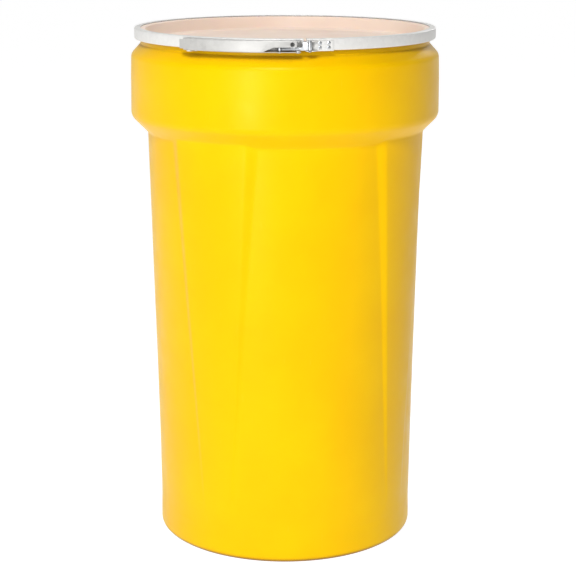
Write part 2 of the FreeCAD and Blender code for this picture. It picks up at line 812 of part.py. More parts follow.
def link_round(name, across, radius, height):
    """Make one upright round of the link about a point on its length."""
    cylinder = document.addObject("Part::Cylinder", name)
    bind(cylinder, "Radius", radius)
    bind(cylinder, "Height", height)
    bind(cylinder, "Placement.Base.x", across)
    return cylinder


link_solid = document.addObject("Part::MultiFuse", "link_solid")
link_solid.Shapes = [
    link_block("link_bar", as_size(0), link_length, bar_height),
    link_block("link_flare", flare_start, as_size(link_length) - flare_start, tall_height),
    link_round("link_near_eye", as_size(0), cell("link_eye_radius"), bar_height),
    link_round("link_far_eye", as_size(link_length), cell("link_eye_radius"), tall_height),
]
link_bores = document.addObject("Part::MultiFuse", "link_bores")
link_bores.Shapes = [
    link_round("near_bore", as_size(0), loose_pin_radius, bar_height),
    link_round("far_bore", as_size(link_length), cell("pin_shank_radius"), tall_height),
]
link = document.addObject("Part::Cut", "toggle_link")
link.Label = "toggle_link"
link.Base = link_solid
link.Tool = link_bores
link.Placement = Placement(
    link_start + Vector(0, 0, link_foot.value),
    Rotation(Vector(0, 0, 1), link_heading),
)
document.recompute()

# ---- pins and rivets that stand upright in the latch ----

head_radius = cell("pin_head_radius")
head = cell("pin_head_thickness")
shank = cell("pin_shank_radius")
upper_ear_top = cell("plate_top_height")
lower_ear_foot = cell("plate_foot_height")
HEAD_GAP = 0.4
link_pin_steps = [
    (head_radius, lever_foot - head, lever_foot),
    (shank, lever_foot, lever_top),
    (head_radius, lever_top, lever_top + head),
]
stepped_pin("link_pin", link_pin_steps, Placement(link_start, Rotation()))
hook_low = lower_ear_foot - HEAD_GAP
hook_high = upper_ear_top + HEAD_GAP
hook_pin_steps = [
    (head_radius, hook_low - head, hook_low),
    (shank, hook_low, hook_high),
    (head_radius, hook_high, hook_high + head),
]
stepped_pin("hook_pin", hook_pin_steps, Placement(link_end, Rotation()))

fulcrum_spot = spot(cell("fulcrum_radius"), fulcrum_azimuth, 0)
fulcrum_head = cell("fulcrum_head_radius")
fulcrum_shank = cell("fulcrum_shank_radius")
WASHER_GAP = 0.2
lower_seat = lever_foot - WASHER_GAP
upper_seat = lever_top + WASHER_GAP
lower_fulcrum_steps = [
    (fulcrum_head, lower_seat - head, lower_seat),
    (fulcrum_shank, lower_seat, lower_ear_foot + ear),
]
upper_fulcrum_steps = [
    (fulcrum_shank, upper_ear_height, upper_seat),
    (fulcrum_head, upper_seat, upper_seat + head),
]
stepped_pin("lower_fulcrum_rivet", lower_fulcrum_steps, Placement(fulcrum_spot, Rotation()))
stepped_pin("upper_fulcrum_rivet", upper_fulcrum_steps, Placement(fulcrum_spot, Rotation()))

# ---- rivets through the band: tail inside, shank, head outside ----

rivet_shank = cell("rivet_shank_radius")
rivet_head = cell("rivet_head_radius")
rivet_rise = cell("rivet_head_rise")
rivet_tail = cell("rivet_tail_radius")
rivet_bed = -cell("rivet_bedding")
rivet_seat = cell("band_thickness") + cell("plate_thickness")


def band_rivet(label, azimuth, height):
    """Make one rivet that points straight out of the band at an azimuth and height."""
    outward = turn_to(azimuth).multiply(Rotation(Vector(0, 1, 0), 90))
    body = new_body(label, Placement(spot(band_inside, azimuth, height), outward))
    corners = [
        (as_size(0), rivet_bed - cell("rivet_tail_rise")),
        (rivet_tail, rivet_bed - cell("rivet_tail_rise")),
        (rivet_tail, rivet_bed),
        (rivet_shank, rivet_bed),
        (rivet_shank, rivet_seat),
        (rivet_head, rivet_seat),
        (rivet_head, rivet_seat + rivet_rise * 0.35),
        (rivet_head * 0.8, rivet_seat + rivet_rise * 0.8),
        (rivet_head * 0.4, rivet_seat + rivet_rise),
        (as_size(0), rivet_seat + rivet_rise),
    ]
    revolve(body, label + "_turned", corners)


def rivet_group(stem, azimuths, heights):
    """Make a numbered group of band rivets."""
    places = [(azimuth, height) for azimuth in azimuths for height in heights]
    for number, (azimuth, height) in enumerate(places, start=1):
        band_rivet(f"{stem}_rivet_{number}", azimuth, height)


rivet_group("hinge", HINGE_RIVET_AZIMUTHS, PAIR_HEIGHTS)
rivet_group("keeper", KEEPER_RIVET_AZIMUTHS, PAIR_HEIGHTS)
rivet_group("lug", LUG_RIVET_AZIMUTHS, LUG_RIVET_HEIGHTS)

# ---- check every feature, then write each piece ----

document.recompute()
for thing in document.Objects:
    if "Invalid" in thing.State or "Error" in thing.State:
        raise RuntimeError(f"{thing.Label} failed: {thing.State}")

pieces = [thing for thing in document.Objects if thing.TypeId == "PartDesign::Body"] + [link]
os.makedirs("parts", exist_ok=True)
for piece in pieces:
    shape = piece.Shape
    if shape.isNull() or not shape.isValid() or len(shape.Solids) != 1:
        raise RuntimeError(f"{piece.Label} is not one valid solid")
    shape.exportStep(f"parts/{piece.Label}.step")
    box = shape.BoundBox
    print(f"{piece.Label:22s} {shape.Volume / 1000:10.2f} cm3  z {box.ZMin:8.2f} to {box.ZMax:8.2f}")

print(f"capacity {capacity_litres:.1f} litres, {len(pieces)} pieces")
print(f"fulcrum {fulcrum_spot}  link pin {link_start}  hook pin {link_end}")
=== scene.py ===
"""Overpack salvage drum of the 55 US gallon class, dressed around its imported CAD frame.

Sizes are millimetres in the dataclass fields and become metres where a mesh is made.
"""

import json
import logging
import math
from dataclasses import dataclass
from enum import Enum
from typing import Optional, Sequence

import bmesh
import bpy
from mathutils import Euler, Matrix, Vector


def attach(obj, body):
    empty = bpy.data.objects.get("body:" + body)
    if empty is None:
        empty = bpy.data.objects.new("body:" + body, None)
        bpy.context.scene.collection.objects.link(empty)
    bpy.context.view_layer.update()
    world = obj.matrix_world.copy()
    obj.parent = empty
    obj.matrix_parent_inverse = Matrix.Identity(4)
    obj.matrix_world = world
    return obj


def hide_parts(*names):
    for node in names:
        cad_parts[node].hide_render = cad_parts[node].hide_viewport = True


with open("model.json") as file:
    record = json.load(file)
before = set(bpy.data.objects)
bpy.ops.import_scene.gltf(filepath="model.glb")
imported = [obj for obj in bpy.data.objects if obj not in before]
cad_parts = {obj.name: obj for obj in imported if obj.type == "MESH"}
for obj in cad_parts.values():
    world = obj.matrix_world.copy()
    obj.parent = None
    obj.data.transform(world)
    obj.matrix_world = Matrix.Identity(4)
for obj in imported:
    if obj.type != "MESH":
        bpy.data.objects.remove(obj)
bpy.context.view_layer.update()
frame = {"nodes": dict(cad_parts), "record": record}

MM = 0.001
FULL_TURN = 360.0
FRONT = -0.5 * math.pi
SMOOTH_UNDER = math.radians(50.0)
log = logging.getLogger("salvage_drum")

Point = tuple[float, float]
Place = tuple[float, float, float]
Outline = tuple[tuple[float, float, float], ...]
Colour = tuple[float, float, float, float]
Socket = bpy.types.NodeSocket
Tree = bpy.types.NodeTree


# ------------------------------------------------------------------ colour and nodes


class Kind(Enum):
    """The kinds of shader node that the finishes and the studio are wired from."""

    AMBIENT = "ShaderNodeAmbientOcclusion"
    BACKGROUND = "ShaderNodeBackground"
    BUMP = "ShaderNodeBump"
    COORDINATES = "ShaderNodeTexCoord"
    MAPPING = "ShaderNodeMapping"
    MATHS = "ShaderNodeMath"
    MIX = "ShaderNodeMix"
    NOISE = "ShaderNodeTexNoise"
    PRINCIPLED = "ShaderNodeBsdfPrincipled"
    RANGE = "ShaderNodeMapRange"
    SPLIT_COLOUR = "ShaderNodeSeparateColor"
    SPLIT_VECTOR = "ShaderNodeSeparateXYZ"
    SURFACE_OUTPUT = "ShaderNodeOutputMaterial"
    VORONOI = "ShaderNodeTexVoronoi"
    WORLD_OUTPUT = "ShaderNodeOutputWorld"


MIX_COLOURS = {"data_type": "RGBA"}
MIX_FACTOR, MIX_UNDER, MIX_OVER, MIX_RESULT = 0, 6, 7, 2
MULTIPLY = {"operation": "MULTIPLY"}
MULTIPLY_ADD = {"operation": "MULTIPLY_ADD"}
LARGER = {"operation": "MAXIMUM"}


def linear(hex_colour: str) -> Colour:
    """Turn an sRGB hex colour to linear light.

    Args:
        hex_colour: six hex digits with a leading hash.

    Returns:
        The linear red, green and blue, and an alpha of one.
    """
    full, slope, knee, lift, power = 255.0, 12.92, 0.04045, 0.055, 2.4
    parts = [int(hex_colour[start:start + 2], 16) / full for start in (1, 3, 5)]
    red, green, blue = (
        part / slope if part <= knee else ((part + lift) / (1.0 + lift)) ** power
        for part in parts
    )
    return (red, green, blue, 1.0)


def per_metre(size_mm: float) -> float:
    """Return the texture scale that repeats a pattern once every size_mm."""
    return 1.0 / (size_mm * MM)


def between(from_low: float, from_high: float, low: float, high: float) -> dict[str, float]:
    """Return the values that map one range onto another.

    Args:
        from_low: lower end of the incoming range.
        from_high: upper end of the incoming range.
        low: result at from_low.
        high: result at from_high.

    Returns:
        The values by socket name.
    """
    return {"From Min": from_low, "From Max": from_high, "To Min": low, "To Max": high}


def add_node(
    tree: Tree,
    kind: Kind,
    settings: Optional[dict] = None,
    values: Optional[dict] = None,
    links: Optional[dict] = None,
) -> bpy.types.Node:
    """Add one node to a tree with its settings, socket values and incoming links.

    Args:
        tree: the node tree.
        kind: the kind of node.
        settings: attributes of the node itself.
        values: default values by input socket name or number.
        links: output sockets by input socket name or number.

    Returns:
        The new node.
    """
    node = tree.nodes.new(kind.value)
    for name, value in (settings or {}).items():
        setattr(node, name, value)
    for name, value in (values or {}).items():
        node.inputs[name].default_value = value
    for name, source in (links or {}).items():
        tree.links.new(source, node.inputs[name])
    return node


def start_material(name: str) -> tuple[bpy.types.Material, Tree, bpy.types.Node, Socket]:
    """Make an empty node material with a Principled shader.

    Args:
        name: the finish's name.

    Returns:
        The material, its tree, its Principled node and its object coordinates.
    """
    material = bpy.data.materials.new(name)
    material.use_nodes = True
    tree = material.node_tree
    tree.nodes.clear()
    shader = add_node(tree, Kind.PRINCIPLED)
    add_node(tree, Kind.SURFACE_OUTPUT, links={"Surface": shader.outputs["BSDF"]})
    place = add_node(tree, Kind.COORDINATES).outputs["Object"]
    return material, tree, shader, place


# ------------------------------------------------------------------ painted crevice shade


@dataclass(frozen=True)
class PaintedShade:
    """Painted shade: ambient occlusion darkens the colour where a surface is shut in by its
    neighbours.

    It paints a dark shadow line under the ring and dark shade in the latch's gaps.
    """

    colour: str
    reach_mm: float
    open_from: float
    most: float
    samples: int = 8
    packed_share: float = 0.25

    def over(self, tree: Tree, unshaded: Socket) -> Socket:
        """Lay the painted shade over the unshaded colour.

        Args:
            tree: the node tree.
            unshaded: the colour without its painted shade.

        Returns:
            The colour with its painted shade.
        """
        # painted shade: the more shut in a spot is, the more the dark colour covers it
        openness = add_node(
            tree,
            Kind.AMBIENT,
            {"samples": self.samples},
            {"Distance": self.reach_mm * MM},
        ).outputs["AO"]
        cover = add_node(
            tree,
            Kind.RANGE,
            values=between(self.packed_share * self.open_from, self.open_from, self.most, 0.0),
            links={"Value": openness},
        ).outputs["Result"]
        crevice_shaded = add_node(
            tree,
            Kind.MIX,
            MIX_COLOURS,
            {MIX_OVER: linear(self.colour)},
            {MIX_FACTOR: cover, MIX_UNDER: unshaded},
        )
        return crevice_shaded.outputs[MIX_RESULT]


# ------------------------------------------------------------------ finishes


class Slot(Enum):
    """The record's material slots that new pieces take their finish from."""

    YELLOW_HDPE = "yellow_hdpe"
    NATURAL_HDPE = "natural_hdpe"
    GALVANISED = "galvanised_steel"
    ZINC = "zinc_plated_steel"
    EPDM = "epdm_rubber"


@dataclass(frozen=True)
class RubMarks:
    """Sparse fine marks left where drums slide against each other."""

    spacing_mm: float
    stretch: Place
    tilt: Place
    clean_share: float
    edge: float = 0.05
    detail: float = 3.0
    break_up: float = 0.6
    patch_spacings: float = 14.0
    patch_detail: float = 2.0
    patch_edges: Point = (0.50, 0.68)

    def mask(self, tree: Tree, place: Socket) -> Socket:
        """Return 1 on a mark and 0 off it.

        Args:
            tree: the node tree.
            place: object coordinates.

        Returns:
            The mask.
        """
        drawn_out = add_node(
            tree,
            Kind.MAPPING,
            values={"Scale": self.stretch, "Rotation": self.tilt},
            links={"Vector": place},
        ).outputs["Vector"]
        fine = add_node(
            tree,
            Kind.NOISE,
            values={
                "Scale": per_metre(self.spacing_mm),
                "Detail": self.detail,
                "Roughness": self.break_up,
            },
            links={"Vector": drawn_out},
        ).outputs["Fac"]
        patches = add_node(
            tree,
            Kind.NOISE,
            values={
                "Scale": per_metre(self.spacing_mm * self.patch_spacings),
                "Detail": self.patch_detail,
            },
            links={"Vector": place},
        ).outputs["Fac"]
        marks = add_node(
            tree,
            Kind.RANGE,
            values=between(self.clean_share, self.clean_share + self.edge, 0.0, 1.0),
            links={"Value": fine},
        ).outputs["Result"]
        where = add_node(
            tree,
            Kind.RANGE,
            values=between(*self.patch_edges, 0.0, 1.0),
            links={"Value": patches},
        ).outputs["Result"]
        return add_node(tree, Kind.MATHS, MULTIPLY, links={0: marks, 1: where}).outputs["Value"]


@dataclass(frozen=True)
class Polyethylene:
    """High-density polyethylene, coloured in the melt and moulded in a blasted steel mould.

    It gives the eye a clear waxy colour with broad soft highlights, a faint orange peel,
    shallow sink waves, and paler rub marks where drums have slid against each other.
    """

    name: str
    deep: str
    main: str
    rubbed: str
    skin: str
    painted_shade: PaintedShade
    gloss: float = 0.30
    rough: float = 0.41
    ior: float = 1.54
    mirror_level: float = 0.13
    glow_through: float = 0.10
    glow_spread: Place = (1.0, 0.45, 0.08)
    glow_depth_mm: float = 4.0
    cloud_mm: float = 160.0
    cloud_detail: float = 3.0
    cloud_edges: Point = (0.35, 0.65)
    haze_mm: float = 38.0
    haze_detail: float = 4.0
    haze_edges: Point = (0.3, 0.7)
    sink_mm: float = 70.0
    sink_detail: float = 1.0
    sink_depth_mm: float = 0.9
    sink_strength: float = 0.5
    peel_mm: float = 2.4
    peel_detail: float = 2.0
    peel_depth_mm: float = 0.05
    peel_strength: float = 0.35
    mark_depth_mm: float = 0.04
    mark_strength: float = 0.4
    rub_cover: float = 0.30
    rub_dulling: float = 0.14
    upright_marks: RubMarks = RubMarks(3.0, (1.0, 1.0, 0.06), (0.10, 0.06, 0.0), 0.66)
    level_marks: RubMarks = RubMarks(3.5, (0.35, 0.35, 1.6), (0.0, 0.08, 0.0), 0.69)

    def build(self) -> bpy.types.Material:
        """Build the material.

        Returns:
            The finished material.
        """
        material, tree, shader, place = start_material(self.name)
        marks = add_node(
            tree,
            Kind.MATHS,
            LARGER,
            links={
                0: self.upright_marks.mask(tree, place),
                1: self.level_marks.mask(tree, place),
            },
        ).outputs["Value"]
        tree.links.new(self.colour(tree, place, marks), shader.inputs["Base Color"])
        tree.links.new(self.roughness(tree, place, marks), shader.inputs["Roughness"])
        tree.links.new(self.relief(tree, place, marks), shader.inputs["Normal"])
        shader.inputs["IOR"].default_value = self.ior
        shader.inputs["Specular IOR Level"].default_value = self.mirror_level
        shader.inputs["Specular Tint"].default_value = linear(self.skin)
        shader.inputs["Subsurface Weight"].default_value = self.glow_through
        shader.inputs["Subsurface Radius"].default_value = self.glow_spread
        shader.inputs["Subsurface Scale"].default_value = self.glow_depth_mm * MM
        return material

    def colour(self, tree: Tree, place: Socket, marks: Socket) -> Socket:
        """Colour the clouded resin with its rub marks and painted crevice shade.

        Args:
            tree: the node tree.
            place: object coordinates.
            marks: the mask of the rub marks.

        Returns:
            The colour.
        """
        cloud = add_node(
            tree,
            Kind.NOISE,
            values={"Scale": per_metre(self.cloud_mm), "Detail": self.cloud_detail},
            links={"Vector": place},
        ).outputs["Fac"]
        shade = add_node(
            tree,
            Kind.RANGE,
            values=between(*self.cloud_edges, 0.0, 1.0),
            links={"Value": cloud},
        ).outputs["Result"]
        resin = add_node(
            tree,
            Kind.MIX,
            MIX_COLOURS,
            {MIX_UNDER: linear(self.deep), MIX_OVER: linear(self.main)},
            {MIX_FACTOR: shade},
        ).outputs[MIX_RESULT]
        rub = add_node(
            tree,
            Kind.RANGE,
            values=between(0.0, 1.0, 0.0, self.rub_cover),
            links={"Value": marks},
        ).outputs["Result"]
        used = add_node(
            tree,
            Kind.MIX,
            MIX_COLOURS,
            {MIX_OVER: linear(self.rubbed)},
            {MIX_FACTOR: rub, MIX_UNDER: resin},
        ).outputs[MIX_RESULT]
        # painted shade: darkens the resin where it is shut in, such as the shadow line under the
        # ring
        return self.painted_shade.over(tree, used)

    def roughness(self, tree: Tree, place: Socket, marks: Socket) -> Socket:
        """Let the roughness drift over the surface and rise on rub marks.

        Args:
            tree: the node tree.
            place: object coordinates.
            marks: the mask of the rub marks.

        Returns:
            The roughness.
        """
        haze = add_node(
            tree,
            Kind.NOISE,
            values={"Scale": per_metre(self.haze_mm), "Detail": self.haze_detail},
            links={"Vector": place},
        ).outputs["Fac"]
        worn = add_node(
            tree,
            Kind.RANGE,
            values=between(*self.haze_edges, self.gloss, self.rough),
            links={"Value": haze},
        ).outputs["Result"]
        dulled = add_node(
            tree, Kind.MATHS, MULTIPLY_ADD, {1: self.rub_dulling}, {0: marks, 2: worn}
        )
        return dulled.outputs["Value"]

    def relief(self, tree: Tree, place: Socket, marks: Socket) -> Socket:
        """Raise sink waves, orange peel and shallow rub marks.

        Args:
            tree: the node tree.
            place: object coordinates.
            marks: the mask of the rub marks.

        Returns:
            The normal.
        """
        waves = add_node(
            tree,
            Kind.NOISE,
            values={"Scale": per_metre(self.sink_mm), "Detail": self.sink_detail},
            links={"Vector": place},
        ).outputs["Fac"]
        sunk = add_node(
            tree,
            Kind.BUMP,
            values={"Strength": self.sink_strength, "Distance": self.sink_depth_mm * MM},
            links={"Height": waves},
        ).outputs["Normal"]
        grain = add_node(
            tree,
            Kind.NOISE,
            values={"Scale": per_metre(self.peel_mm), "Detail": self.peel_detail},
            links={"Vector": place},
        ).outputs["Fac"]
        peel = add_node(
            tree,
            Kind.BUMP,
            values={"Strength": self.peel_strength, "Distance": self.peel_depth_mm * MM},
            links={"Height": grain, "Normal": sunk},
        ).outputs["Normal"]
        scratched = add_node(
            tree,
            Kind.BUMP,
            values={"Strength": self.mark_strength, "Distance": -self.mark_depth_mm * MM},
            links={"Height": marks, "Normal": peel},
        )
        return scratched.outputs["Normal"]


@dataclass(frozen=True)
class GalvanisedSheet:
    """Hot-dip galvanised steel strip, rolled to shape and weathered to a pale grey.

    It gives the eye a bright whitish metal with a faint spangle of zinc crystals, drawn
    lines round the band from the forming rolls, and shallow handling dents.
    """

    name: str
    dark: str
    bright: str
    painted_shade: PaintedShade
    spangle_mm: float = 7.0
    gloss: float = 0.42
    rough: float = 0.52
    bare_share: float = 0.25
    line_mm: float = 1.2
    line_detail: float = 2.0
    line_depth_mm: float = 0.02
    line_strength: float = 0.35
    line_stretch: Place = (0.05, 0.05, 1.0)
    dent_mm: float = 26.0
    dent_detail: float = 2.0
    dent_depth_mm: float = 0.25
    dent_strength: float = 0.5

    def build(self) -> bpy.types.Material:
        """Build the material.

        Returns:
            The finished material.
        """
        material, tree, shader, place = start_material(self.name)
        crystals = add_node(
            tree,
            Kind.VORONOI,
            values={"Scale": per_metre(self.spangle_mm)},
            links={"Vector": place},
        ).outputs["Color"]
        grey = add_node(tree, Kind.SPLIT_COLOUR, links={"Color": crystals}).outputs["Red"]
        zinc = add_node(
            tree,
            Kind.MIX,
            MIX_COLOURS,
            {MIX_UNDER: linear(self.dark), MIX_OVER: linear(self.bright)},
            {MIX_FACTOR: grey},
        ).outputs[MIX_RESULT]
        # painted shade: darkens the zinc inside the latch's hole, window and gaps
        tree.links.new(self.painted_shade.over(tree, zinc), shader.inputs["Base Color"])
        crystal_shine = add_node(
            tree,
            Kind.RANGE,
            values=between(0.0, 1.0, self.gloss, self.rough),
            links={"Value": grey},
        ).outputs["Result"]
        tree.links.new(crystal_shine, shader.inputs["Roughness"])
        tree.links.new(self.relief(tree, place), shader.inputs["Normal"])
        # the zinc has dulled to a powdery oxide, so only part of what is seen is bare metal
        shader.inputs["Metallic"].default_value = self.bare_share
        return material

    def relief(self, tree: Tree, place: Socket) -> Socket:
        """Raise forming lines round the band and shallow dents.

        Args:
            tree: the node tree.
            place: object coordinates.

        Returns:
            The normal.
        """
        rolled = add_node(
            tree, Kind.MAPPING, values={"Scale": self.line_stretch}, links={"Vector": place}
        ).outputs["Vector"]
        drawn = add_node(
            tree,
            Kind.NOISE,
            values={"Scale": per_metre(self.line_mm), "Detail": self.line_detail},
            links={"Vector": rolled},
        ).outputs["Fac"]
        lines = add_node(
            tree,
            Kind.BUMP,
            values={"Strength": self.line_strength, "Distance": self.line_depth_mm * MM},
            links={"Height": drawn},
        ).outputs["Normal"]
        knocks = add_node(
            tree,
            Kind.NOISE,
            values={"Scale": per_metre(self.dent_mm), "Detail": self.dent_detail},
            links={"Vector": place},
        ).outputs["Fac"]
        dented = add_node(
            tree,
            Kind.BUMP,
            values={"Strength": self.dent_strength, "Distance": self.dent_depth_mm * MM},
            links={"Height": knocks, "Normal": lines},
        )
        return dented.outputs["Normal"]


@dataclass(frozen=True)
class ZincPlate:
    """Clear electroplated zinc on small turned and headed steel parts.

    It gives the eye a slightly bluish, finer metal than the dipped sheet beside it.
    """

    name: str
    dark: str
    bright: str
    painted_shade: PaintedShade
    cloud_mm: float = 3.0
    cloud_detail: float = 3.0
    cloud_edges: Point = (0.3, 0.7)
    pit_mm: float = 0.8
    pit_detail: float = 2.0
    pit_depth_mm: float = 0.02
    pit_strength: float = 0.4
    gloss: float = 0.30
    rough: float = 0.44

    def build(self) -> bpy.types.Material:
        """Build the material.

        Returns:
            The finished material.
        """
        material, tree, shader, place = start_material(self.name)
        cloud = add_node(
            tree,
            Kind.NOISE,
            values={"Scale": per_metre(self.cloud_mm), "Detail": self.cloud_detail},
            links={"Vector": place},
        ).outputs["Fac"]
        shade = add_node(
            tree,
            Kind.RANGE,
            values=between(*self.cloud_edges, 0.0, 1.0),
            links={"Value": cloud},
        ).outputs["Result"]
        plate = add_node(
            tree,
            Kind.MIX,
            MIX_COLOURS,
            {MIX_UNDER: linear(self.dark), MIX_OVER: linear(self.bright)},
            {MIX_FACTOR: shade},
        ).outputs[MIX_RESULT]
        # painted shade: darkens the plated parts where they sit shut in between other parts
        tree.links.new(self.painted_shade.over(tree, plate), shader.inputs["Base Color"])
        shine = add_node(
            tree,
            Kind.RANGE,
            values=between(0.0, 1.0, self.gloss, self.rough),
            links={"Value": cloud},
        ).outputs["Result"]
        tree.links.new(shine, shader.inputs["Roughness"])
        pits = add_node(
            tree,
            Kind.NOISE,
            values={"Scale": per_metre(self.pit_mm), "Detail": self.pit_detail},
            links={"Vector": place},
        ).outputs["Fac"]
        pitted = add_node(
            tree,
            Kind.BUMP,
            values={"Strength": self.pit_strength, "Distance": self.pit_depth_mm * MM},
            links={"Height": pits},
        ).outputs["Normal"]
        tree.links.new(pitted, shader.inputs["Normal"])
        shader.inputs["Metallic"].default_value = 1.0
        return material


@dataclass(frozen=True)
class MouldedRubber:
    """EPDM sealing rubber, moulded and lightly dusted.

    It gives the eye a soft black with a greyish bloom.
    """

    name: str
    black: str
    bloom: str
    dust_mm: float = 9.0
    dust_detail: float = 4.0
    dust_edges: Point = (0.4, 0.8)
    skin_mm: float = 1.5
    skin_detail: float = 2.0
    skin_depth_mm: float = 0.05
    skin_strength: float = 0.4
    gloss: float = 0.6
    rough: float = 0.8

    def build(self) -> bpy.types.Material:
        """Build the material.

        Returns:
            The finished material.
        """
        material, tree, shader, place = start_material(self.name)
        dust = add_node(
            tree,
            Kind.NOISE,
            values={"Scale": per_metre(self.dust_mm), "Detail": self.dust_detail},
            links={"Vector": place},
        ).outputs["Fac"]
        cover = add_node(
            tree,
            Kind.RANGE,
            values=between(*self.dust_edges, 0.0, 1.0),
            links={"Value": dust},
        ).outputs["Result"]
        rubber = add_node(
            tree,
            Kind.MIX,
            MIX_COLOURS,
            {MIX_UNDER: linear(self.black), MIX_OVER: linear(self.bloom)},
            {MIX_FACTOR: cover},
        ).outputs[MIX_RESULT]
        tree.links.new(rubber, shader.inputs["Base Color"])
        dull = add_node(
            tree,
            Kind.RANGE,
            values=between(0.0, 1.0, self.gloss, self.rough),
            links={"Value": dust},
        ).outputs["Result"]
        tree.links.new(dull, shader.inputs["Roughness"])
        grain = add_node(
            tree,
            Kind.NOISE,
            values={"Scale": per_metre(self.skin_mm), "Detail": self.skin_detail},
            links={"Vector": place},
        ).outputs["Fac"]
        skin = add_node(
            tree,
            Kind.BUMP,
            values={"Strength": self.skin_strength, "Distance": self.skin_depth_mm * MM},
            links={"Height": grain},
        ).outputs["Normal"]
        tree.links.new(skin, shader.inputs["Normal"])
        return material


FINISHES: dict[Slot | str, bpy.types.Material] = {}


def make_finishes() -> None:
    """Build every finish once, by its slot or by the node that has a finish of its own."""
    # painted shade for the ring and lever: dark in their gaps and cavities
    steel_painted_shade = PaintedShade("#24221F", reach_mm=16.0, open_from=0.75, most=0.97)
    recipes = {
        Slot.YELLOW_HDPE: Polyethylene(
            "yellow_blow_moulded_hdpe",
            deep="#EAB600",
            main="#EEBC00",
            rubbed="#F1C83C",
            skin="#FFF3A6",
            # painted shadow: dark brown in the neck under the ring and in other crevices
            painted_shade=PaintedShade("#6B3E16", reach_mm=26.0, open_from=0.76, most=0.97),
        ),
        Slot.NATURAL_HDPE: Polyethylene(
            "natural_injection_moulded_hdpe",
            deep="#E8D2C2",
            main="#EFDCCD",
            rubbed="#F6EBE0",
            skin="#FFFFFF",
            # painted shade: darkens the lid where it is shut in under the ring's gap
            painted_shade=PaintedShade("#5A4C42", reach_mm=5.0, open_from=0.76, most=0.80),
            gloss=0.36,
            rough=0.50,
            sink_mm=55.0,
        ),
        Slot.GALVANISED: GalvanisedSheet(
            "galvanised_steel_sheet",
            dark="#DAD9D6",
            bright="#E0DFDC",
            painted_shade=steel_painted_shade,
        ),
        # painted shade: a darker copy of the ring's finish, because the lever faces the main
        # light and would lose its form
        "lever": GalvanisedSheet(
            "galvanised_strip_painted_darker",
            dark="#B2B1AE",
            bright="#BAB9B6",
            painted_shade=steel_painted_shade,
        ),
        Slot.ZINC: ZincPlate(
            "clear_zinc_plate",
            dark="#C6C9CC",
            bright="#D8DADC",
            # painted shade for the pins and link: dark where they are shut in
            painted_shade=PaintedShade("#2C2C2C", reach_mm=10.0, open_from=0.60, most=0.90),
        ),
        Slot.EPDM: MouldedRubber("epdm_seal_rubber", black="#151515", bloom="#3A3A39"),
    }
    for wearer, recipe in recipes.items():
        FINISHES[wearer] = recipe.build()


# ------------------------------------------------------------------ modelling by operators


def select_only(thing: bpy.types.Object) -> None:
    """Deselect everything, then select one object and make it active.

    Args:
        thing: the object.
    """
    bpy.ops.object.select_all(action="DESELECT")
    thing.select_set(True)
    bpy.context.view_layer.objects.active = thing


def rounded(corners: Outline, closed: bool, arc_step_deg: float = 11.0) -> list[Point]:
    """Round the corners of an outline with arcs.

    Args:
        corners: (across, along, rounding radius) in millimetres.
        closed: whether the last corner joins the first.
        arc_step_deg: angle in degrees between neighbouring points on an arc.

    Returns:
        The points of the rounded outline in millimetres.
    """
    longest_share = 0.48
    fewest_steps = 2
    points: list[Point] = []
    count = len(corners)
    for index, (x, y, radius) in enumerate(corners):
        at_end = not closed and index in (0, count - 1)
        if radius <= 0.0 or at_end:
            points.append((x, y))
            continue
        here = Vector((x, y))
        before = Vector(corners[index - 1][:2]) - here
        after = Vector(corners[(index + 1) % count][:2]) - here
        half = before.angle(after) / 2.0
        room = longest_share * min(before.length, after.length)
        reach = min(radius / math.tan(half), room)
        before.normalize()
        after.normalize()
        inward = (before + after).normalized()
        centre = here + inward * reach / math.cos(half)
        arm = here + before * reach - centre
        turn = arm.angle_signed(here + after * reach - centre)
        steps = max(fewest_steps, math.ceil(abs(turn) / math.radians(arc_step_deg)))
        for step in range(steps + 1):
            spoke = arm.copy()
            spoke.rotate(Matrix.Rotation(-turn * step / steps, 2))
            points.append((centre.x + spoke.x, centre.y + spoke.y))
    return points


def subdivided(points: Sequence[Point], longest: float) -> list[Point]:
    """Add points to an outline so that no stretch is longer than a limit.

    Args:
        points: the outline in millimetres.
        longest: the limit in millimetres.

    Returns:
        The outline with its added points.
    """
    result = [points[0]]
    for (x0, y0), (x1, y1) in zip(points, points[1:]):
        pieces = max(1, math.ceil(math.hypot(x1 - x0, y1 - y0) / longest))
        for piece in range(1, pieces + 1):
            share = piece / pieces
            result.append((x0 + (x1 - x0) * share, y0 + (y1 - y0) * share))
    return result


